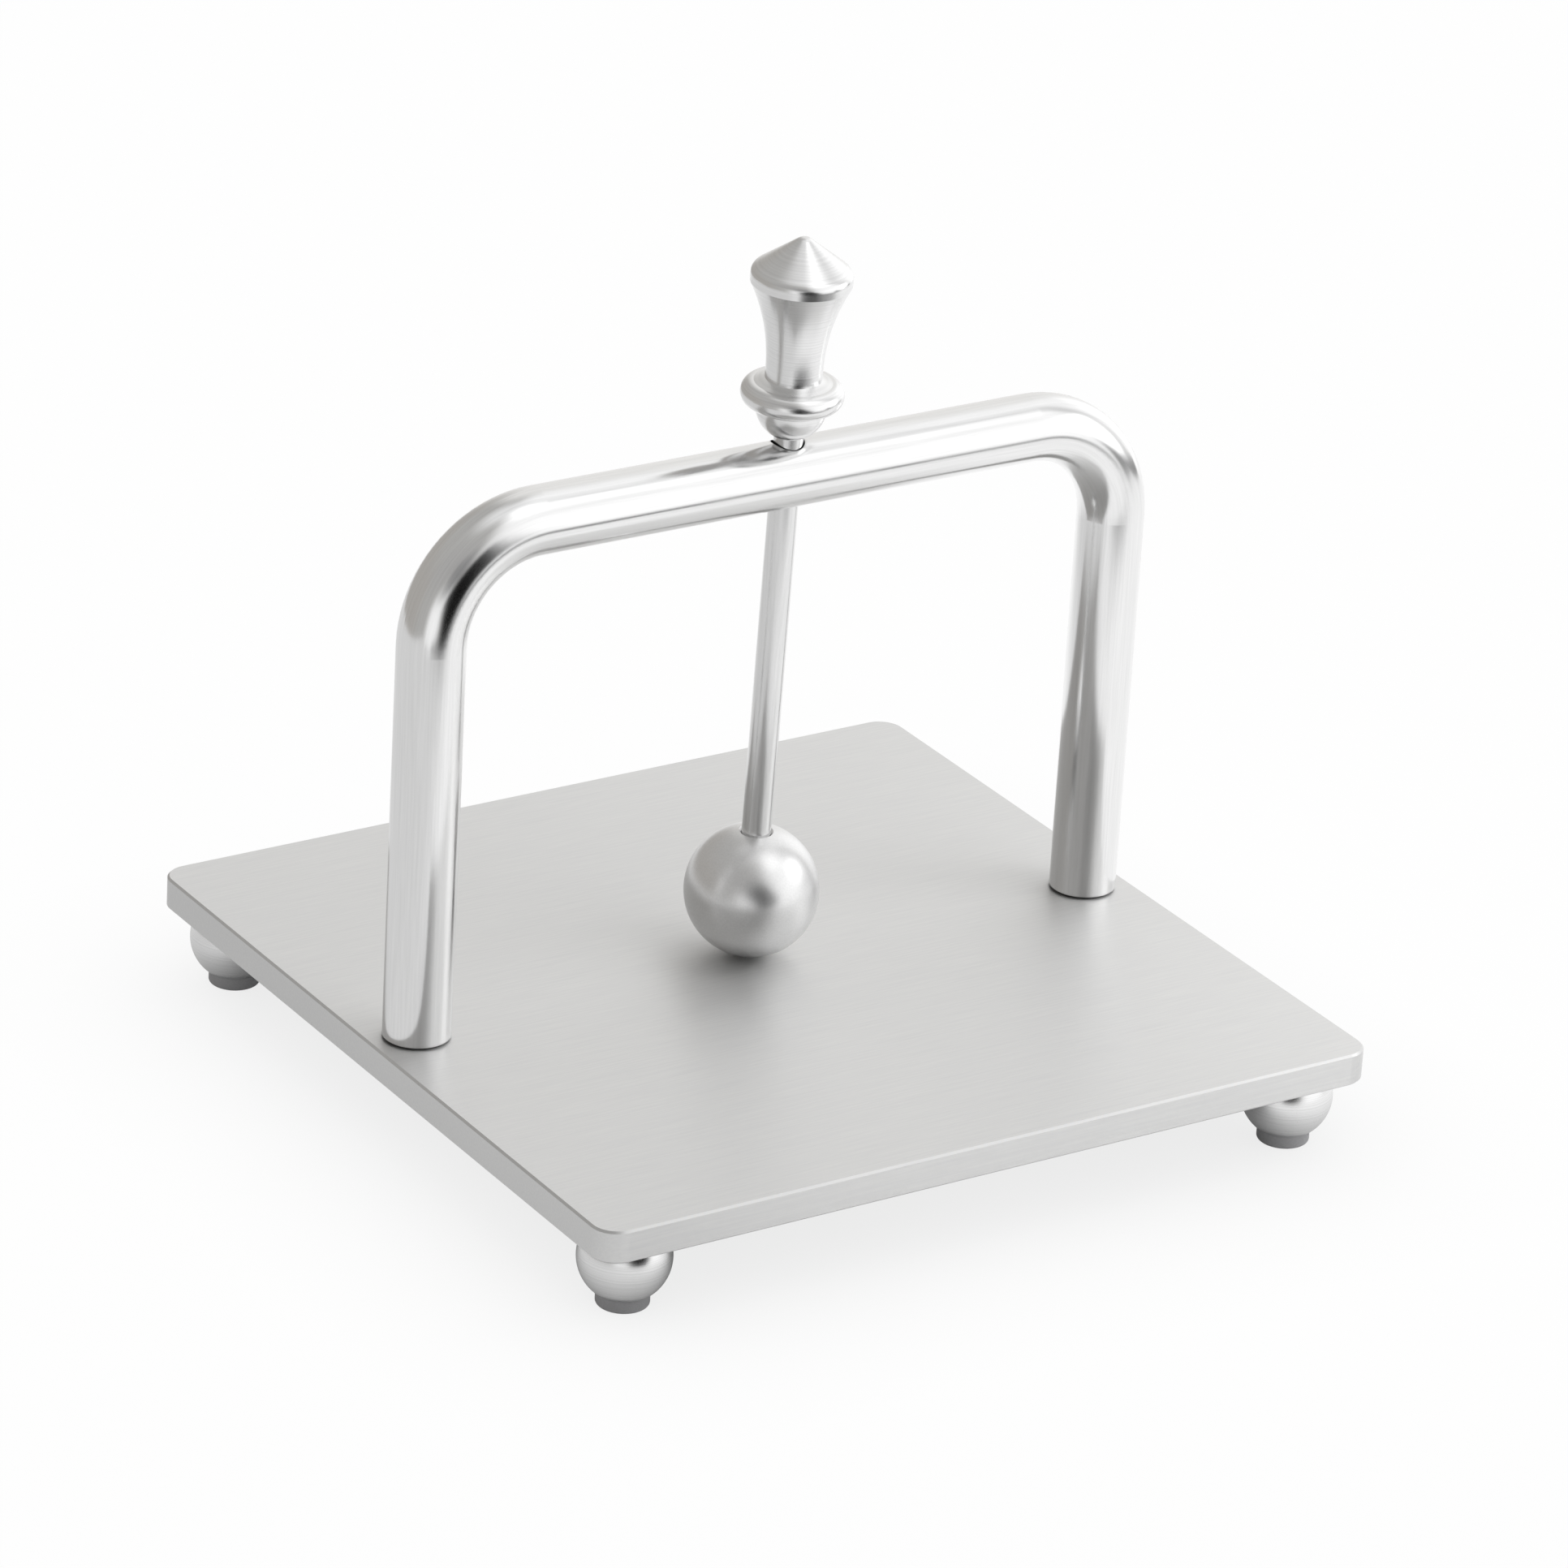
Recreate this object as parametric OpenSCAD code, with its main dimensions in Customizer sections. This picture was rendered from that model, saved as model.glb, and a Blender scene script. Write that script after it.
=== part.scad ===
// Napkin holder: a square plate on four ball feet, a round tube bent into an arch over it, and a ball
// weight on a rod that slides loosely through the arch and is lifted by a turned finial.
// Millimetres. +Z is up, X runs along the arch, -Y is the front. The origin is on the table, under the
// middle of the plate.

/* [Plate] */
// Width of the plate, along the arch
plate_w = 165; // [145:1:200]
// Depth of the plate, across the arch
plate_d = 165; // [120:1:200]
// Thickness of the plate
plate_t = 6.35; // [5:0.05:10]
// Radius of the plate's corners
plate_corner_r = 5; // [2:0.5:12]
// Width of the broken edge round the plate's faces
plate_edge = 0.4; // [0.2:0.1:1]

/* [Arch] */
// Outer diameter of the arch tube
tube_d = 12.7; // [11:0.1:15]
// Wall thickness of the arch tube
tube_wall = 1.6; // [1:0.1:2.2]
// Distance from the plate's side edge to the middle of a leg
leg_inset = 9.25; // [8.5:0.05:20]
// Height of the top run's centre line above the plate
arch_h = 98; // [70:1:130]
// Bend radius at the tube's centre line
bend_r = 20.6; // [16:0.2:40]
// Width of the broken edge round the tube's feet
leg_edge = 0.5; // [0.2:0.1:0.6]

/* [Arch fastening] */
// Length of the threaded plug in each leg
plug_len = 20; // [16:0.5:30]
// Thread diameter of the leg screws
leg_screw_d = 5; // [4:0.5:6]
// Head diameter of the leg screws
leg_screw_head_d = 9.6; // [8.6:0.1:11]
// How far a leg screw reaches into its plug
leg_screw_reach = 12; // [8:0.5:14]
// Width across the flats of the leg screws' hexagon socket
leg_screw_key = 3; // [2.5:0.1:3.4]

/* [Feet] */
// Distance from the plate's edges to the middle of a foot
foot_inset = 11; // [9.5:0.1:20]
// Widest diameter of a ball foot
foot_d = 17.2; // [15:0.1:18.6]
// Depth of the ball foot's widest level below the plate
foot_drop = 4.9; // [3:0.1:6]
// Diameter of the flat under a ball foot
foot_flat_d = 10; // [9.8:0.1:12]
// Thickness of the rubber pad
pad_h = 2.5; // [1.5:0.1:4]
// Radius of the rubber pad's lower edge
pad_edge_r = 0.6; // [0.3:0.1:1.2]

/* [Feet fastening] */
// Thread diameter of the foot screws
foot_screw_d = 4; // [3:0.5:4.5]
// Head diameter of the foot screws
foot_screw_head_d = 6.8; // [6:0.1:7.2]
// Head height of the foot screws
foot_screw_head_h = 2.4; // [2:0.1:3]
// Width across the flats of the foot screws' hexagon socket
foot_screw_key = 2.5; // [2:0.1:3]
// Metal left above a foot screw's hole in the plate
plate_roof = 1.3; // [0.8:0.1:2]

/* [Weight] */
// Diameter of the ball
ball_d = 25.4; // [20:0.1:32]
// Diameter of the rod
rod_d = 5.5; // [4:0.1:6.4]
// Lean of the loose rod at rest, in degrees: the ball lies a little behind the arch
rod_lean = 2.3; // [0:0.1:3]
// Play left between the leaning rod and its hole in the arch
hole_play = 0.15; // [0.1:0.05:0.4]
// Gap between the resting ball and the plate
ball_gap = 0.2; // [0.1:0.05:0.5]
// Gap between the lifted ball and the arch
lift_gap = 0.3; // [0.2:0.05:0.6]
// Depth of the rod's socket in the ball
ball_socket = 11; // [7:0.5:14]
// Width of the broken edge round the ball's socket
socket_edge = 0.4; // [0.2:0.1:0.8]

/* [Finial] */
// Length of bare rod between the arch and the finial when the ball is down
finial_gap = 1.4; // [0.8:0.1:6]
// Depth of the rod's socket in the finial
finial_socket = 14; // [8:0.5:20]
// Diameter of the bowl at the finial's foot
bowl_d = 13.2; // [12.8:0.1:14]
// Height of the bowl
bowl_h = 5.9; // [5.4:0.1:5.9]
// Diameter of the ring
ring_d = 19; // [16:0.1:22]
// Thickness of the ring, with a fully round edge
ring_t = 4.6; // [3:0.1:5.6]
// Rise of the ring's top face towards the neck
ring_rise = 0.7; // [0.3:0.1:1.5]
// Narrowest diameter of the neck
neck_d = 10.5; // [8.6:0.1:12]
// Height of the neck's narrowest level above the ring
waist_h = 2.6; // [1.6:0.1:5]
// Height of the flare from the neck's narrowest level to the cap's rim
flare_h = 18.2; // [12:0.1:24]
// Radius of the flare's hollow curve
flare_r = 37; // [30:0.5:60]
// Diameter of the cap's rim
cap_d = 18.6; // [18:0.1:22]
// Radius of the cap's rounded rim
cap_edge_r = 1.8; // [1:0.1:2.2]
// Slope of the cap's cone above the level, in degrees
cap_slope = 37; // [20:1:50]
// Radius of the cap's rounded tip
cap_tip_r = 2.3; // [0.5:0.1:3]

/* [Hidden] */
$fn = 96;

// Running and seating clearances, each measured on the radius
thread_fit = 0.05;
plug_fit = 0.02;
screw_hole_fit = 0.25;
head_fit = 0.2;
pad_margin = 0.1;
countersink_fit = 0.05;
// How far a cutting shape runs past the face that it cuts
past = 1;
// Broken edge on the plugs' ends, and room left beyond the tip of a screw or of the rod
plug_edge = 0.5;
tip_room = 1;
rod_tip_room = 0.5;
// Depth of a screw's hexagon socket, as a share of its width
key_share = 0.6;

// Levels, from the table up
foot_flat_h = sqrt(pow(foot_d / 2, 2) - pow(foot_flat_d / 2, 2));
foot_h = foot_drop + foot_flat_h;
plate_z = pad_h + foot_h;
top_z = plate_z + plate_t;
arch_z = top_z + arch_h;

// Places of the legs and the feet
leg_x = plate_w / 2 - leg_inset;
foot_x = plate_w / 2 - foot_inset;
foot_y = plate_d / 2 - foot_inset;

// The weight's own axis runs through the middle of its hole in the arch, where its level is 0
ball_down = (arch_h - ball_d / 2 - ball_gap) / cos(rod_lean);
lift = ball_down - ball_d / 2 - tube_d / 2 - lift_gap;
finial_foot = tube_d / 2 + finial_gap;
rod_low = ball_d / 2 - ball_down - ball_socket + rod_tip_room;
rod_high = finial_foot + finial_socket - rod_tip_room;
hole_d = rod_d / cos(rod_lean) + tube_d * tan(rod_lean) + 2 * hole_play;
socket_d = rod_d + 2 * thread_fit;

// Moves its children to the corner of the plate on the given sides, at the table's level
module at_corner(side_x, side_y) {
    translate([side_x * foot_x, side_y * foot_y, 0])
        children();
}

// Moves its children from the weight's own axis to their place in the arch
module on_weight_axis() {
    translate([0, 0, arch_z])
        rotate([rod_lean, 0, 0])
            children();
}

// Section of a plate's border, width wide, with broken edges on the outer side
module border_section(width) {
    polygon([
        [0, 0], [width - plate_edge, 0], [width, plate_edge], [width, plate_t - plate_edge],
        [width - plate_edge, plate_t], [0, plate_t]
    ]);
}

// The bare plate: a middle block, a border on each side and a quarter round at each corner
module plate_blank() {
    mid_w = plate_w - 2 * plate_corner_r;
    mid_d = plate_d - 2 * plate_corner_r;
    translate([-mid_w / 2, -mid_d / 2, 0])
        cube([mid_w, mid_d, plate_t]);
    for (turn = [0, 180]) {
        rotate([0, 0, turn])
            translate([mid_w / 2, mid_d / 2, 0])
                rotate([90, 0, 0])
                    linear_extrude(mid_d)
                        border_section(plate_corner_r);
        rotate([0, 0, turn + 90])
            translate([mid_d / 2, mid_w / 2, 0])
                rotate([90, 0, 0])
                    linear_extrude(mid_w)
                        border_section(plate_corner_r);
        rotate([0, 0, turn])
            translate([mid_w / 2, mid_d / 2, 0])
                rotate_extrude(angle = 90)
                    border_section(plate_corner_r);
        rotate([0, 0, turn + 90])
            translate([mid_d / 2, mid_w / 2, 0])
                rotate_extrude(angle = 90)
                    border_section(plate_corner_r);
    }
}

// Countersunk hole for a leg screw, cut up through the plate from its underside
module leg_screw_hole() {
    hole_r = leg_screw_d / 2 + screw_hole_fit;
    mouth_r = leg_screw_head_d / 2 + countersink_fit;
    translate([0, 0, -past])
        cylinder(h = plate_t + 2 * past, r = hole_r);
    translate([0, 0, -past])
        cylinder(h = past, r = mouth_r);
    cylinder(h = mouth_r - hole_r, r1 = mouth_r, r2 = hole_r);
}

module base_plate() {
    color("#c8c8c6")
        translate([0, 0, plate_z])
            difference() {
                plate_blank();
                for (side = [-1, 1])
                    translate([side * leg_x, 0, 0])
                        leg_screw_hole();
                for (side_x = [-1, 1], side_y = [-1, 1])
                    translate([side_x * foot_x, side_y * foot_y, -past])
                        cylinder(h = past + plate_t - plate_roof, r = foot_screw_d / 2 + thread_fit);
            }
}

// A round bar along the arch's centre line, from the plate's top, longer by extra at both ends
module arch_bar(radius, extra) {
    bend_z = arch_h - bend_r;
    for (side = [-1, 1])
        translate([side * leg_x, 0, -extra])
            cylinder(h = bend_z + extra, r = radius);
    for (turn = [0, 180])
        rotate([0, 0, turn])
            translate([leg_x - bend_r, 0, bend_z])
                rotate([90, 0, 0])
                    rotate_extrude(angle = 90)
                        translate([bend_r, 0])
                            circle(r = radius);
    translate([bend_r - leg_x, 0, arch_h])
        rotate([0, 90, 0])
            cylinder(h = 2 * (leg_x - bend_r), r = radius);
}

// Ring that cuts the broken edge round a foot of the tube
module leg_edge_cut() {
    edge_r = tube_d / 2;
    rotate_extrude()
        polygon([
            [edge_r - leg_edge, -past], [edge_r + past, -past], [edge_r + past, leg_edge], [edge_r, leg_edge],
            [edge_r - leg_edge, 0]
        ]);
}

module arch_tube() {
    color("#d2d3d4")
        translate([0, 0, top_z])
            difference() {
                arch_bar(tube_d / 2, 0);
                arch_bar(tube_d / 2 - tube_wall, past);
                translate([0, 0, arch_h - tube_d])
                    cylinder(h = 2 * tube_d, d = hole_d);
                for (side = [-1, 1])
                    translate([side * leg_x, 0, 0])
                        leg_edge_cut();
            }
}

// A plug in a leg's end, on the plate, with a tapped hole from below
module leg_plug(side) {
    plug_r = tube_d / 2 - tube_wall - plug_fit;
    color("#b9babb")
        translate([side * leg_x, 0, top_z])
            difference() {
                rotate_extrude()
                    polygon([
                        [0, 0], [plug_r, 0], [plug_r, plug_len - plug_edge], [plug_r - plug_edge, plug_len],
                        [0, plug_len]
                    ]);
                translate([0, 0, -past])
                    cylinder(h = past + leg_screw_reach + tip_room, r = leg_screw_d / 2 + thread_fit);
            }
}

// A countersunk screw, from the plate's underside up into a leg's plug
module leg_screw(side) {
    head_r = leg_screw_head_d / 2;
    head_h = head_r - leg_screw_d / 2;
    color("#9b9da0")
        translate([side * leg_x, 0, plate_z])
            difference() {
                union() {
                    cylinder(h = head_h, r1 = head_r, r2 = leg_screw_d / 2);
                    translate([0, 0, head_h])
                        cylinder(h = plate_t + leg_screw_reach - head_h, d = leg_screw_d);
                }
                translate([0, 0, -past])
                    cylinder(h = past + key_share * leg_screw_key, d = leg_screw_key / cos(30), $fn = 6);
            }
}

// A ball foot: a ball cut flat against the plate and over its pad, bored from below for its screw
module ball_foot() {
    color("#d0d1d3")
        translate([0, 0, pad_h])
            difference() {
                rotate_extrude()
                    intersection() {
                        translate([0, foot_flat_h])
                            circle(d = foot_d);
                        square([foot_d, foot_h]);
                    }
                translate([0, 0, -past])
                    cylinder(h = foot_h + 2 * past, r = foot_screw_d / 2 + screw_hole_fit);
                translate([0, 0, -past])
                    cylinder(h = past + foot_screw_head_h, r = foot_screw_head_d / 2 + head_fit);
            }
}

// The screw inside a ball foot, its head against the counterbore's floor
module foot_screw() {
    color("#9b9da0")
        translate([0, 0, pad_h])
            difference() {
                union() {
                    cylinder(h = foot_screw_head_h, d = foot_screw_head_d);
                    cylinder(h = foot_h + plate_t - plate_roof - tip_room, d = foot_screw_d);
                }
                translate([0, 0, -past])
                    cylinder(h = past + key_share * foot_screw_key, d = foot_screw_key / cos(30), $fn = 6);
            }
}

// The rubber pad under a ball foot
module foot_pad() {
    pad_r = foot_flat_d / 2 - pad_margin;
    color("#55565a")
        rotate_extrude() {
            translate([0, pad_edge_r])
                square([pad_r, pad_h - pad_edge_r]);
            square([pad_r - pad_edge_r, pad_h]);
            translate([pad_r - pad_edge_r, pad_edge_r])
                circle(r = pad_edge_r);
        }
}

module rod() {
    color("#cfd0d2")
        on_weight_axis()
            translate([0, 0, rod_low])
                cylinder(h = rod_high - rod_low, d = rod_d);
}

module ball_weight() {
    mouth_h = sqrt(pow(ball_d / 2, 2) - pow(socket_d / 2 + socket_edge, 2));
    color("#bdbebf")
        on_weight_axis()
            translate([0, 0, -ball_down])
                difference() {
                    sphere(d = ball_d);
                    translate([0, 0, ball_d / 2 - ball_socket])
                        cylinder(h = ball_socket + past, d = socket_d);
                    translate([0, 0, mouth_h - socket_edge])
                        cylinder(h = socket_edge, d1 = socket_d, d2 = socket_d + 2 * socket_edge);
                    translate([0, 0, mouth_h])
                        cylinder(h = past, d = socket_d + 2 * socket_edge);
                }
}

// Half section of the finial, from its foot up
module finial_section() {
    ring_top = bowl_h + ring_t;
    ring_r = ring_d / 2 - ring_t / 2;
    waist_z = ring_top + waist_h;
    rim_r = cap_d / 2 - cap_edge_r;
    rim_z = waist_z + flare_h;
    cone_r = rim_r + cap_edge_r * sin(cap_slope);
    cone_z = rim_z + cap_edge_r * cos(cap_slope);
    tip_r = cap_tip_r * sin(cap_slope);
    tip_z = cone_z + (cone_r - tip_r) * tan(cap_slope);
    // bowl
    intersection() {
        translate([0, bowl_h])
            circle(d = bowl_d);
        square([bowl_d, bowl_h]);
    }
    // ring with its round edge, and its top face that rises to the neck
    translate([0, bowl_h])
        square([ring_r, ring_t]);
    translate([ring_r, bowl_h + ring_t / 2])
        circle(d = ring_t);
    polygon([
        [0, ring_top], [ring_r, ring_top], [neck_d / 2, ring_top + ring_rise], [0, ring_top + ring_rise]
    ]);
    // neck and its flare
    difference() {
        translate([0, ring_top])
            square([cap_d / 2, waist_h + flare_h]);
        translate([neck_d / 2 + flare_r, waist_z])
            circle(r = flare_r);
        translate([neck_d / 2, ring_top])
            square([cap_d, waist_h]);
    }
    // cap: a round rim, and a cone with a round tip
    translate([rim_r, rim_z])
        circle(r = cap_edge_r);
    polygon([[0, rim_z], [rim_r, rim_z], [cone_r, cone_z], [tip_r, tip_z], [0, tip_z]]);
    intersection() {
        translate([0, tip_z - cap_tip_r * cos(cap_slope)])
            circle(r = cap_tip_r);
        translate([0, tip_z - cap_tip_r * cos(cap_slope)])
            square(cap_tip_r);
    }
}

module finial() {
    color("#dcddde")
        on_weight_axis()
            translate([0, 0, finial_foot])
                difference() {
                    rotate_extrude()
                        finial_section();
                    translate([0, 0, -past])
                        cylinder(h = past + finial_socket, d = socket_d);
                }
}

base_plate();
arch_tube();
leg_plug(-1);  // leg_plug_left
leg_plug(1);  // leg_plug_right
leg_screw(-1);  // leg_screw_left
leg_screw(1);  // leg_screw_right
at_corner(-1, -1) ball_foot();  // foot_front_left
at_corner(1, -1) ball_foot();  // foot_front_right
at_corner(-1, 1) ball_foot();  // foot_back_left
at_corner(1, 1) ball_foot();  // foot_back_right
at_corner(-1, -1) foot_screw();  // foot_screw_front_left
at_corner(1, -1) foot_screw();  // foot_screw_front_right
at_corner(-1, 1) foot_screw();  // foot_screw_back_left
at_corner(1, 1) foot_screw();  // foot_screw_back_right
at_corner(-1, -1) foot_pad();  // foot_pad_front_left
at_corner(1, -1) foot_pad();  // foot_pad_front_right
at_corner(-1, 1) foot_pad();  // foot_pad_back_left
at_corner(1, 1) foot_pad();  // foot_pad_back_right
rod();
ball_weight();
finial();
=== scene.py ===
import math

import bmesh
import bpy
from mathutils import Matrix, Vector


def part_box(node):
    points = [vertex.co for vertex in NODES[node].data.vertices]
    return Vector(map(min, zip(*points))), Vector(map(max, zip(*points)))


# A napkin holder: a square aluminium plate on ball feet, with a bent tube arch over it.
# A steel ball on a sliding rod, with a turned finial on top, holds the napkins down.
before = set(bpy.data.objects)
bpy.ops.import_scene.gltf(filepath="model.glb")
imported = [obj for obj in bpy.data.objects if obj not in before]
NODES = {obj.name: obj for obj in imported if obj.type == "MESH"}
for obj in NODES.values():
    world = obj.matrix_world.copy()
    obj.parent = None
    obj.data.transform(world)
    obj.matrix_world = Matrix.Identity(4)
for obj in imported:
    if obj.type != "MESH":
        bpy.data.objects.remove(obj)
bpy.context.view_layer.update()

MM = 0.001

# The camera looks along this axis, in the frame where azimuth 0 looks along +Y.
CAMERA_AZIMUTH = math.radians(-33.547)
CAMERA_ELEVATION = math.radians(24.485)
# Upright lines lean a little to the right in the picture.
CAMERA_ROLL = math.radians(3.376)
CAMERA_TARGET = Vector((-2.32, -8.94, 60.81)) * MM
CAMERA_DISTANCE = 1437.1 * MM
CAMERA_LENS = 179.8
SENSOR_WIDTH = 36.0
CAMERA_NEAR = 0.05
CAMERA_FAR = 50.0

# The arch: the tube's radius, the bends, and the middle line of its legs and its top run
ARCH_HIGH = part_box("arch_tube")[1]
TUBE_RADIUS = 6.35 * MM
BEND_RADIUS = 20.6 * MM
LEG_X = ARCH_HIGH.x - TUBE_RADIUS
RUN_Z = ARCH_HIGH.z - TUBE_RADIUS

# The rod leans back by this angle, and the finial turns about the same line.
ROD_LEAN = math.radians(2.3)
ROD_AXIS = Vector((0, -math.sin(ROD_LEAN), math.cos(ROD_LEAN)))
UPRIGHT = Vector((0, 0, 1))

# Sockets of the colour mix node, which shows one name for several sockets
MIX_FACTOR = 0
MIX_BEHIND = 6
MIX_FRONT = 7
MIX_RESULT = 2

WHITE = (1, 1, 1, 1)
# Most of a noise lies between these two values.
NOISE_LOW = 0.25
NOISE_HIGH = 0.75
# How many layers of finer marks a noise has: soft clouds, and fine grain
SOFT_DETAIL = 2.0
FINE_DETAIL = 3.0
# How many rays look for near walls
NEARNESS_SAMPLES = 8


def linear(hex_colour):
    """Turns an sRGB hex colour into the linear colour that a shader takes."""
    def channel(start):
        value = int(hex_colour[start:start + 2], 16) / 255
        return value / 12.92 if value <= 0.04045 else ((value + 0.055) / 1.055) ** 2.4
    return (channel(1), channel(3), channel(5), 1.0)


def bright(hex_colour, level):
    """The linear colour of a surface that shines at this level, where 1 is as written."""
    return [level * value for value in linear(hex_colour)[:3]] + [1.0]


def add_node(tree, kind, settings=None, links=None):
    """Adds a node. Settings are properties or input values, and links are inputs fed by a socket."""
    node = tree.nodes.new(kind)
    for name, value in (settings or {}).items():
        if isinstance(name, str) and hasattr(node, name):
            setattr(node, name, value)
        else:
            node.inputs[name].default_value = value
    for name, socket in (links or {}).items():
        tree.links.new(node.inputs[name], socket)
    return node


def start_material(name, metallic=1.0):
    """Makes a material, which is a metal unless told otherwise, and returns it with its node
    tree and its shader."""
    material = bpy.data.materials.new(name)
    material.use_nodes = True
    tree = material.node_tree
    shader = tree.nodes["Principled BSDF"]
    shader.inputs["Metallic"].default_value = metallic
    return material, tree, shader


def bare_material(name):
    """Makes a material with an empty node tree."""
    material = bpy.data.materials.new(name)
    material.use_nodes = True
    material.node_tree.nodes.clear()
    return material, material.node_tree


def object_point(tree):
    """The point on the piece, in metres in the part's own frame."""
    return add_node(tree, "ShaderNodeTexCoord").outputs["Object"]


def speckle(tree, point, size, detail=SOFT_DETAIL):
    """Smooth noise from 0 to 1, whose marks have this size in metres along each axis."""
    stretched = add_node(
        tree, "ShaderNodeVectorMath", {"operation": "DIVIDE", 1: size}, {0: point},
    ).outputs["Vector"]
    return add_node(
        tree, "ShaderNodeTexNoise", {"Scale": 1.0, "Detail": detail}, {"Vector": stretched},
    ).outputs["Fac"]


def spread(tree, noise, low, high):
    """Maps the middle half of a noise onto the range from low to high."""
    settings = {"From Min": NOISE_LOW, "From Max": NOISE_HIGH, "To Min": low, "To Max": high}
    return add_node(tree, "ShaderNodeMapRange", settings, {"Value": noise}).outputs["Result"]


def tint(tree, factor, first, second):
    """A colour between two hex colours."""
    settings = {"data_type": "RGBA", MIX_BEHIND: linear(first), MIX_FRONT: linear(second)}
    return add_node(tree, "ShaderNodeMix", settings, {MIX_FACTOR: factor}).outputs[MIX_RESULT]


# How near a wall has to be to paint shade into a joint, how open the joint looks where the painted
# shade is darkest and where it stops, and the colour of that painted shade
JOINT_SHADE_REACH = 1.1 * MM
JOINT_CLOSED = 0.5
JOINT_OPEN = 0.9
JOINT_SHADE_COLOUR = "#6A6A6A"


def painted_joint_shade(tree, colour):
    """Paints shade into a colour: a fine dark line where another piece is very near, where a joint
    lies in shade.
    """
    opening = add_node(
        tree, "ShaderNodeAmbientOcclusion",
        {"samples": NEARNESS_SAMPLES, "Distance": JOINT_SHADE_REACH},
    ).outputs["AO"]
    settings = {"From Min": JOINT_CLOSED, "From Max": JOINT_OPEN}
    clear = add_node(tree, "ShaderNodeMapRange", settings, {"Value": opening})
    return add_node(
        tree, "ShaderNodeMix", {"data_type": "RGBA", MIX_BEHIND: linear(JOINT_SHADE_COLOUR)},
        {MIX_FACTOR: clear.outputs["Result"], MIX_FRONT: colour},
    ).outputs[MIX_RESULT]


# Each finish has the two colours that its grain runs between, its least and its most
# roughness, and the real size of its marks: the grain, broad clouds in the gloss and the
# depth of the relief. The grain of a fine abrasive is about 0.1 mm wide, and it is drawn a
# few times wider here, because it would be too fine to show.
PLATE_FINISH = {
    "colours": ("#DCDCDC", "#E2E2E1"),
    "roughness": (0.46, 0.50),
    "grain": Vector((14.0, 0.45, 0.45)) * MM,
    "cloud": Vector((60.0, 45.0, 45.0)) * MM,
    "relief": 0.0028 * MM,
}
PLATE_ANISOTROPY = 0.7
TUBE_FINISH = {
    "colours": ("#E6E6E6", "#EFEFEF"),
    "roughness": (0.15, 0.20),
    "grain": Vector((0.35, 0.35, 16.0)) * MM,
    "cloud": Vector((9.0, 9.0, 22.0)) * MM,
    "relief": 0.003 * MM,
}
BALL_FINISH = {
    "colours": ("#E0E0E0", "#EAEAEA"),
    "roughness": (0.31, 0.35),
    "grain": Vector((0.35, 0.35, 0.35)) * MM,
    "cloud": Vector((7.0, 7.0, 7.0)) * MM,
    "relief": 0.003 * MM,
}
ROD_FINISH = {
    "colours": ("#DCDCDC", "#E8E8E8"),
    "roughness": (0.18, 0.24),
    "grain": Vector((0.4, 0.4, 12.0)) * MM,
    "relief": 0.002 * MM,
}
# The lathe's tool leaves a ring at each turn, this far from the last.
TOOL_PITCH = 0.3 * MM
TURNED_FINISH = {
    "colours": ("#E4E4E4", "#EEEEEE"),
    "roughness": (0.22, 0.28),
    "cloud": Vector((5.0, 5.0, 5.0)) * MM,
    "relief": 0.003 * MM,
}
ZINC_FINISH = {
    "colours": ("#BFC2C6", "#CDD0D3"),
    "roughness": (0.28, 0.36),
    "grain": Vector((0.35, 0.35, 0.35)) * MM,
}
RUBBER_IOR = 1.5
RUBBER_FINISH = {
    "colours": ("#A0A0A2", "#ABABAD"),
    "roughness": (0.6, 0.75),
    "grain": Vector((0.25, 0.25, 0.25)) * MM,
    "relief": 0.02 * MM,
}


def apply_finish(tree, shader, finish, grain, gloss, joints=False):
    """Links a finish to the shader. The grain makes its colour and its relief, and the gloss
    is the noise that its roughness follows."""
    colour = tint(tree, spread(tree, grain, 0.0, 1.0), *finish["colours"])
    # painted shade: the colour darkens where another piece is near, in the joints
    if joints:
        colour = painted_joint_shade(tree, colour)
    tree.links.new(shader.inputs["Base Color"], colour)
    tree.links.new(shader.inputs["Roughness"], spread(tree, gloss, *finish["roughness"]))
    if "relief" in finish:
        relief = add_node(
            tree, "ShaderNodeBump", {"Distance": finish["relief"], "Strength": 1.0},
            {"Height": grain},
        )
        tree.links.new(shader.inputs["Normal"], relief.outputs["Normal"])


def satin_anodised_plate():
    """Rolled aluminium plate, brushed along the arch and clear anodised: an even satin grey
    with fine straight lines, which blurs what stands on it."""
    material, tree, shader = start_material("satin anodised aluminium plate")
    shader.inputs["Anisotropic"].default_value = PLATE_ANISOTROPY
    across = add_node(
        tree, "ShaderNodeVectorTransform",
        {
            "vector_type": "VECTOR",
            "convert_from": "OBJECT",
            "convert_to": "WORLD",
            "Vector": (0, 1, 0),
        },
    )
    tree.links.new(shader.inputs["Tangent"], across.outputs["Vector"])
    point = object_point(tree)
    grain = speckle(tree, point, PLATE_FINISH["grain"], FINE_DETAIL)
    cloud = speckle(tree, point, PLATE_FINISH["cloud"])
    apply_finish(tree, shader, PLATE_FINISH, grain, cloud)
    return material


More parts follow.
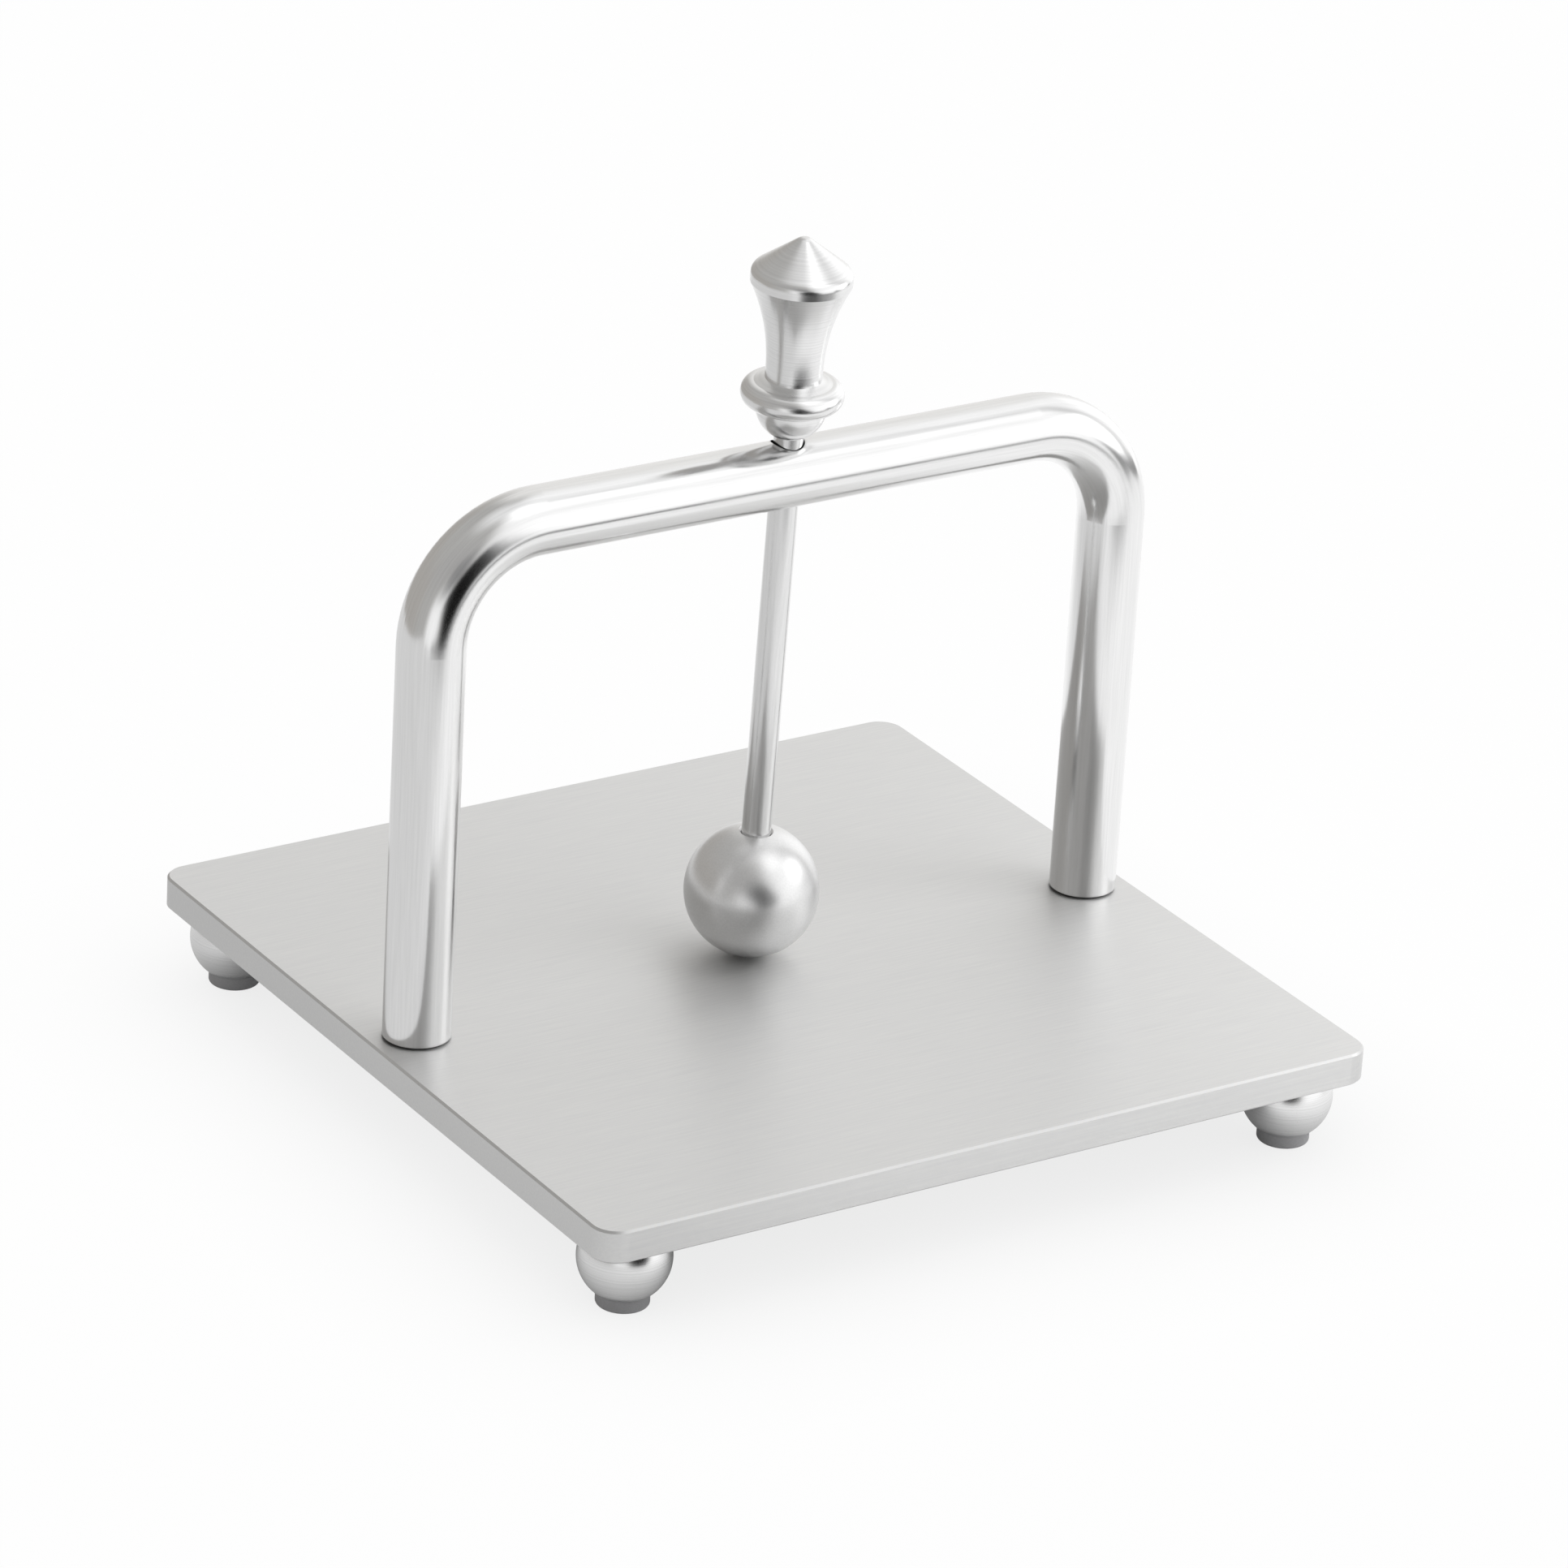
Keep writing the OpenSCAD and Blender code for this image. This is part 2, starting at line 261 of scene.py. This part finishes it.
def tube_point(tree):
    """The point seen along the bent tube: how far it lies from the middle line to the front
    and to the outside of the arch, and how far it is along the tube."""
    split = add_node(tree, "ShaderNodeSeparateXYZ", links={"Vector": object_point(tree)})
    side = add_node(tree, "ShaderNodeMath", {"operation": "ABSOLUTE"}, {0: split.outputs["X"]})
    across, rise = (
        add_node(
            tree, "ShaderNodeMath",
            {"operation": "SUBTRACT", 1: middle - BEND_RADIUS}, {0: socket},
        ).outputs["Value"]
        for socket, middle in ((side.outputs["Value"], LEG_X), (split.outputs["Z"], RUN_Z))
    )
    corner = add_node(tree, "ShaderNodeCombineXYZ", links={"X": across, "Y": rise})
    beyond = add_node(
        tree, "ShaderNodeVectorMath",
        {"operation": "MAXIMUM", 1: (0, 0, 0)}, {0: corner.outputs["Vector"]},
    )
    reach = add_node(
        tree, "ShaderNodeVectorMath", {"operation": "LENGTH"}, {0: beyond.outputs["Vector"]},
    )
    along = add_node(tree, "ShaderNodeMath", {"operation": "SUBTRACT"}, {0: across, 1: rise})
    bent = add_node(
        tree, "ShaderNodeCombineXYZ",
        links={"X": split.outputs["Y"], "Y": reach.outputs["Value"], "Z": along.outputs["Value"]},
    )
    return bent.outputs["Vector"]


def drawn_tube():
    """Drawn aluminium tube, satin polished along its length: soft long streaks that follow
    the bends, clear bands of light and dark, and a line of painted shade where it meets the plate."""
    material, tree, shader = start_material("drawn aluminium tube")
    grain = speckle(tree, tube_point(tree), TUBE_FINISH["grain"], FINE_DETAIL)
    cloud = speckle(tree, object_point(tree), TUBE_FINISH["cloud"])
    apply_finish(tree, shader, TUBE_FINISH, grain, cloud, joints=True)
    return material


def tumbled_steel():
    """Steel ball, tumbled satin: it blurs the room evenly in every direction."""
    material, tree, shader = start_material("tumbled steel")
    point = object_point(tree)
    grain = speckle(tree, point, BALL_FINISH["grain"], FINE_DETAIL)
    cloud = speckle(tree, point, BALL_FINISH["cloud"])
    apply_finish(tree, shader, BALL_FINISH, grain, cloud)
    return material


def ground_rod():
    """Ground steel rod: bright, with fine lines along it."""
    material, tree, shader = start_material("ground steel rod")
    grain = speckle(tree, object_point(tree), ROD_FINISH["grain"])
    apply_finish(tree, shader, ROD_FINISH, grain, grain)
    return material


def turned_aluminium(name, axis):
    """Aluminium turned on a lathe and polished: bright, with fine rings round its axis."""
    material, tree, shader = start_material(name)
    point = object_point(tree)
    height = add_node(
        tree, "ShaderNodeVectorMath", {"operation": "DOT_PRODUCT", 1: axis}, {0: point},
    )
    rings = add_node(
        tree, "ShaderNodeTexNoise", {"noise_dimensions": "1D", "Scale": 1 / TOOL_PITCH},
        {"W": height.outputs["Value"]},
    ).outputs["Fac"]
    cloud = speckle(tree, point, TURNED_FINISH["cloud"])
    apply_finish(tree, shader, TURNED_FINISH, rings, cloud)
    return material


def zinc_plated_steel():
    """Zinc plated steel screw: a little duller and bluer than the aluminium round it."""
    material, tree, shader = start_material("zinc plated steel")
    grain = speckle(tree, object_point(tree), ZINC_FINISH["grain"])
    apply_finish(tree, shader, ZINC_FINISH, grain, grain)
    return material


def moulded_rubber():
    """Moulded nitrile rubber: grey and matt, with a fine stipple."""
    material, tree, shader = start_material("moulded nitrile rubber", metallic=0.0)
    shader.inputs["IOR"].default_value = RUBBER_IOR
    grain = speckle(tree, object_point(tree), RUBBER_FINISH["grain"])
    apply_finish(tree, shader, RUBBER_FINISH, grain, grain)
    return material


def dress_nodes():
    """Gives each piece of the part its material, by the longest start that its name has."""
    turned = turned_aluminium("turned aluminium", UPRIGHT)
    screw = zinc_plated_steel()
    starts = {
        "base_plate": satin_anodised_plate(),
        "arch_tube": drawn_tube(),
        "ball_weight": tumbled_steel(),
        "rod": ground_rod(),
        "finial": turned_aluminium("turned aluminium finial", ROD_AXIS),
        "leg_plug": turned,
        "leg_screw": screw,
        "foot": turned,
        "foot_screw": screw,
        "foot_pad": moulded_rubber(),
    }
    for name, piece in NODES.items():
        start = max((key for key in starts if name.startswith(key)), key=len)
        for slot in piece.material_slots:
            slot.material = starts[start]


# The studio, as the metal shows it: the colour and level of its grey walls, and the panels
# in front of them, each laid over the ones before it. A panel has its middle azimuth and
# half its width, its bottom and its top, its soft edge, all in degrees, and its colour and
# level. A top above 90 also covers what is straight above.
WALLS = ("#B6B5B3", 1.0)
PANELS = (
    # the right half of the far wall
    (132, 34, -60, 60, 14, "#F4F3F1", 1.0),
    # the white wall on the right
    (62, 68, -60, 120, 16, "#FFFFFF", 1.1),
    # the ceiling
    (0, 200, 72, 120, 12, "#F0F0F0", 1.0),
    # the left half of the far wall, in shade
    (-147, 50, -60, 30, 14, "#B2AFAB", 1.0),
    # the room above the camera
    (-60, 40, 24, 52, 14, "#B0AFAE", 1.0),
    # the softbox over the right side
    (38, 24, 50, 76, 10, "#FFFFFF", 1.6),
    # the white card left of the camera
    (-39, 19, -60, 14, 10, "#FFFFFF", 1.05),
    # the bright card on the right, the dim gap beside it and the next card
    (38, 24, -60, 30, 8, "#FFFFFF", 1.25),
    (78, 10, -60, 60, 9, "#E0E0E0", 1.0),
    (113, 15, -60, 30, 8, "#FFFFFF", 1.3),
    # the grey stand beside the camera
    (-29, 14, 10, 34, 8, "#8E8E8E", 1.0),
    # the dark room under the table's front edge, and past its right end
    (20, 55, -60, -17, 4, "#6C6C6C", 1.0),
    (72, 26, -60, -5, 3, "#8A8A8A", 1.0),
)


def soft_cover(tree, edges, cover=None):
    """How far a point lies inside all of these edges, from 0 to 1, times the cover that is
    given. An edge is the socket that it measures and its values outside and inside."""
    for socket, outside, inside in edges:
        edge = add_node(
            tree, "ShaderNodeMapRange",
            {"interpolation_type": "SMOOTHSTEP", "From Min": outside, "From Max": inside},
            {"Value": socket},
        ).outputs["Result"]
        if cover is None:
            cover = edge
        else:
            both = add_node(tree, "ShaderNodeMath", {"operation": "MULTIPLY"}, {0: cover, 1: edge})
            cover = both.outputs["Value"]
    return cover


def lay_panel(tree, behind, heading, elevation, panel):
    """Lays one soft edged panel over the colour behind it, and returns the new colour."""
    azimuth, half_width, low, high, soft, colour, level = panel
    turn = math.radians(azimuth)
    facing = add_node(
        tree, "ShaderNodeVectorMath",
        {"operation": "DOT_PRODUCT", 1: (math.sin(turn), -math.cos(turn), 0)}, {0: heading},
    )
    aside = add_node(
        tree, "ShaderNodeMath", {"operation": "ARCCOSINE"}, {0: facing.outputs["Value"]},
    ).outputs["Value"]
    cover = soft_cover(tree, (
        (aside, math.radians(half_width + soft), math.radians(half_width - soft)),
        (elevation, math.radians(low - soft), math.radians(low + soft)),
        (elevation, math.radians(high + soft), math.radians(high - soft)),
    ))
    return add_node(
        tree, "ShaderNodeMix", {"data_type": "RGBA", MIX_FRONT: bright(colour, level)},
        {MIX_FACTOR: cover, MIX_BEHIND: behind},
    ).outputs[MIX_RESULT]


def room_direction(tree):
    """The level direction that a ray of the world looks in, and its elevation in radians."""
    point = add_node(tree, "ShaderNodeTexCoord").outputs["Generated"]
    split = add_node(tree, "ShaderNodeSeparateXYZ", links={"Vector": point})
    level = add_node(
        tree, "ShaderNodeCombineXYZ", links={"X": split.outputs["X"], "Y": split.outputs["Y"]},
    )
    heading = add_node(
        tree, "ShaderNodeVectorMath", {"operation": "NORMALIZE"}, {0: level.outputs["Vector"]},
    )
    elevation = add_node(
        tree, "ShaderNodeMath", {"operation": "ARCSINE"}, {0: split.outputs["Z"]},
    )
    return heading.outputs["Vector"], elevation.outputs["Value"]


def light_studio():
    """The world is the studio's soft light, fixed to the room. The camera sees plain white."""
    world = bpy.data.worlds.new("studio")
    world.use_nodes = True
    bpy.context.scene.world = world
    tree = world.node_tree
    tree.nodes.clear()
    heading, elevation = room_direction(tree)
    walls = add_node(tree, "ShaderNodeRGB")
    walls.outputs["Color"].default_value = bright(*WALLS)
    room = walls.outputs["Color"]
    for panel in PANELS:
        room = lay_panel(tree, room, heading, elevation, panel)
    light_path = add_node(tree, "ShaderNodeLightPath")
    shown = add_node(
        tree, "ShaderNodeMix", {"data_type": "RGBA", MIX_FRONT: WHITE},
        {MIX_FACTOR: light_path.outputs["Is Camera Ray"], MIX_BEHIND: room},
    )
    background = add_node(
        tree, "ShaderNodeBackground", {"Strength": 1.0}, {"Color": shown.outputs[MIX_RESULT]},
    )
    add_node(
        tree, "ShaderNodeOutputWorld", links={"Surface": background.outputs["Background"]},
    )


def flat_sheet(name, corners, material):
    """Makes a flat sheet with these corners and this material, and adds it to the scene."""
    mesh = bpy.data.meshes.new(name)
    shape = bmesh.new()
    shape.faces.new([shape.verts.new(corner) for corner in corners])
    shape.to_mesh(mesh)
    shape.free()
    mesh.materials.append(material)
    sheet = bpy.data.objects.new(name, mesh)
    bpy.context.scene.collection.objects.link(sheet)
    return sheet


# The table ends close in front of the object, and far behind it and beside it.
TABLE_HALF_WIDTH = 600 * MM
TABLE_FRONT = -240 * MM
TABLE_BACK = 600 * MM
TABLE_COLOUR = "#FAFAFA"
# How much of the table's white doesn't depend on the light
TABLE_GLOW = {"Is Camera Ray": 0.97, "Is Glossy Ray": 0.9, "Is Transmission Ray": 0.9}
# The metal shows a table with painted light: its glow is brighter on the window's side. Towards that
# side, its level changes between these two places.
TABLE_TURN = math.radians(75)
TABLE_DIM_PLACE, TABLE_DIM_LEVEL = -140 * MM, 0.76
TABLE_BRIGHT_PLACE, TABLE_BRIGHT_LEVEL = 40 * MM, 1.08
# How near the object has to be for the painted shade on the glow, and the colour of that painted
# shade
SHADE_REACH = 45 * MM
PAINTED_SHADE = "#EAEAEA"


def glow_share(tree, light_path):
    """How much of the table's white is glow, for the kind of ray that looks at it."""
    total = None
    for kind, share in TABLE_GLOW.items():
        part = add_node(
            tree, "ShaderNodeMath", {"operation": "MULTIPLY", 1: share},
            {0: light_path.outputs[kind]},
        ).outputs["Value"]
        if total is None:
            total = part
        else:
            both = add_node(tree, "ShaderNodeMath", {"operation": "ADD"}, {0: part, 1: total})
            total = both.outputs["Value"]
    return total


def painted_table_light(tree, open_sky):
    """The grey level of the table that the metal shows, as painted light and shade: brighter on the
    window's side, and darker near the object."""
    towards = (math.sin(TABLE_TURN), -math.cos(TABLE_TURN), 0)
    across = add_node(
        tree, "ShaderNodeVectorMath", {"operation": "DOT_PRODUCT", 1: towards},
        {0: object_point(tree)},
    )
    settings = {
        "interpolation_type": "SMOOTHSTEP",
        "From Min": TABLE_DIM_PLACE,
        "To Min": TABLE_DIM_LEVEL,
        "From Max": TABLE_BRIGHT_PLACE,
        "To Max": TABLE_BRIGHT_LEVEL,
    }
    level = add_node(tree, "ShaderNodeMapRange", settings, {"Value": across.outputs["Value"]})
    return add_node(
        tree, "ShaderNodeMath", {"operation": "MULTIPLY"},
        {0: level.outputs["Result"], 1: open_sky},
    ).outputs["Value"]


def white_laminate():
    """White laminate, smooth and matt: it glows a plain white to the camera, with a pale shade
    painted into the glow where the object stands. From below it is clear, so that the object's
    underside can be looked at."""
    material, tree = bare_material("white laminate table")
    light_path = add_node(tree, "ShaderNodeLightPath")
    open_sky = add_node(
        tree, "ShaderNodeAmbientOcclusion",
        {"samples": NEARNESS_SAMPLES, "Distance": SHADE_REACH},
    ).outputs["AO"]
    # the glow's colour: painted shade near the object for the camera, and painted light and shade
    # for the metal
    white = add_node(
        tree, "ShaderNodeMix", {"data_type": "RGBA"},
        {
            MIX_FACTOR: light_path.outputs["Is Glossy Ray"],
            MIX_BEHIND: tint(tree, open_sky, PAINTED_SHADE, "#FFFFFF"),
            MIX_FRONT: painted_table_light(tree, open_sky),
        },
    ).outputs[MIX_RESULT]
    matt = add_node(tree, "ShaderNodeBsdfDiffuse", {"Color": linear(TABLE_COLOUR)})
    glow = add_node(tree, "ShaderNodeEmission", {"Strength": 1.0}, {"Color": white})
    share = glow_share(tree, light_path)
    table = add_node(
        tree, "ShaderNodeMixShader",
        links={0: share, 1: matt.outputs["BSDF"], 2: glow.outputs["Emission"]},
    )
    side = add_node(tree, "ShaderNodeNewGeometry")
    clear = add_node(tree, "ShaderNodeBsdfTransparent")
    both = add_node(
        tree, "ShaderNodeMixShader",
        links={0: side.outputs["Backfacing"], 1: table.outputs["Shader"], 2: clear.outputs["BSDF"]},
    )
    add_node(tree, "ShaderNodeOutputMaterial", links={"Surface": both.outputs["Shader"]})
    return material


def pale_floor():
    """Lays the white table top under the object."""
    corners = (
        (-TABLE_HALF_WIDTH, TABLE_FRONT, 0),
        (TABLE_HALF_WIDTH, TABLE_FRONT, 0),
        (TABLE_HALF_WIDTH, TABLE_BACK, 0),
        (-TABLE_HALF_WIDTH, TABLE_BACK, 0),
    )
    floor = flat_sheet("floor", corners, white_laminate())


# Upright cards close to the object, which its metal shows and the camera looks through. The
# middle, the half of the width and height, and the soft edge are in millimetres. The turn
# about the upright and the lean from it are in degrees.
NEAR_CARDS = {
    # a black cloth hung aslant beside the camera, which makes the ball's dark middle
    "cloth": {
        "material": "black velvet",
        "middle": (-66, -288, 92),
        "half": (96, 120),
        "soft": 34,
        "turn": -12,
        "lean": -38,
        "colour": "#060606",
        "level": 1.0,
    },
    # a lamp on the right, which makes the ball's highlight
    "lamp": {
        "material": "opal acrylic lamp cover",
        "middle": (229, -100, 172),
        "half": (50, 60),
        "soft": 28,
        "turn": 67,
        "lean": 0,
        "colour": "#FFFFFF",
        "level": 2.8,
    },
}


def card_material(card):
    """An even glow with soft edges, which only the camera looks through."""
    material, tree = bare_material(card["material"])
    split = add_node(tree, "ShaderNodeSeparateXYZ", links={"Vector": object_point(tree)})
    light_path = add_node(tree, "ShaderNodeLightPath")
    not_camera = add_node(
        tree, "ShaderNodeMath", {"operation": "SUBTRACT", 0: 1.0},
        {1: light_path.outputs["Is Camera Ray"]},
    )
    edges = []
    for axis, half in zip(("X", "Z"), card["half"]):
        away = add_node(
            tree, "ShaderNodeMath", {"operation": "ABSOLUTE"}, {0: split.outputs[axis]},
        ).outputs["Value"]
        edges.append((away, (half + card["soft"]) * MM, (half - card["soft"]) * MM))
    cover = soft_cover(tree, edges, not_camera.outputs["Value"])
    clear = add_node(tree, "ShaderNodeBsdfTransparent")
    glow = add_node(
        tree, "ShaderNodeEmission",
        {"Color": linear(card["colour"]), "Strength": card["level"]},
    )
    shown = add_node(
        tree, "ShaderNodeMixShader",
        links={0: cover, 1: clear.outputs["BSDF"], 2: glow.outputs["Emission"]},
    )
    add_node(tree, "ShaderNodeOutputMaterial", links={"Surface": shown.outputs["Shader"]})
    return material


def near_card(name, card):
    """Stands one soft edged card near the object."""
    wide, tall = ((half + card["soft"]) * MM for half in card["half"])
    corners = ((-wide, 0, -tall), (wide, 0, -tall), (wide, 0, tall), (-wide, 0, tall))
    stand = flat_sheet(name, corners, card_material(card))
    stand.matrix_world = (
        Matrix.Translation(Vector(card["middle"]) * MM)
        @ Matrix.Rotation(math.radians(card["turn"]), 4, "Z")
        @ Matrix.Rotation(math.radians(card["lean"]), 4, "Y")
    )


def place_camera():
    """Sets the camera at the photographed viewing angle."""
    data = bpy.data.cameras.new("camera")
    data.lens = CAMERA_LENS
    data.sensor_width = SENSOR_WIDTH
    data.clip_start = CAMERA_NEAR
    data.clip_end = CAMERA_FAR
    camera = bpy.data.objects.new("camera", data)
    bpy.context.scene.collection.objects.link(camera)
    bpy.context.scene.camera = camera
    back = Vector((
        math.sin(CAMERA_AZIMUTH) * math.cos(CAMERA_ELEVATION),
        -math.cos(CAMERA_AZIMUTH) * math.cos(CAMERA_ELEVATION),
        math.sin(CAMERA_ELEVATION),
    ))
    level_right = Vector((math.cos(CAMERA_AZIMUTH), math.sin(CAMERA_AZIMUTH), 0))
    right = Matrix.Rotation(CAMERA_ROLL, 3, back) @ level_right
    up = back.cross(right)
    camera.matrix_world = Matrix.LocRotScale(
        CAMERA_TARGET + CAMERA_DISTANCE * back,
        Matrix((right, up, back)).transposed(),
        None,
    )


bpy.context.scene.view_settings.view_transform = "Standard"
place_camera()
light_studio()
pale_floor()
for name, card in NEAR_CARDS.items():
    near_card(name, card)
dress_nodes()
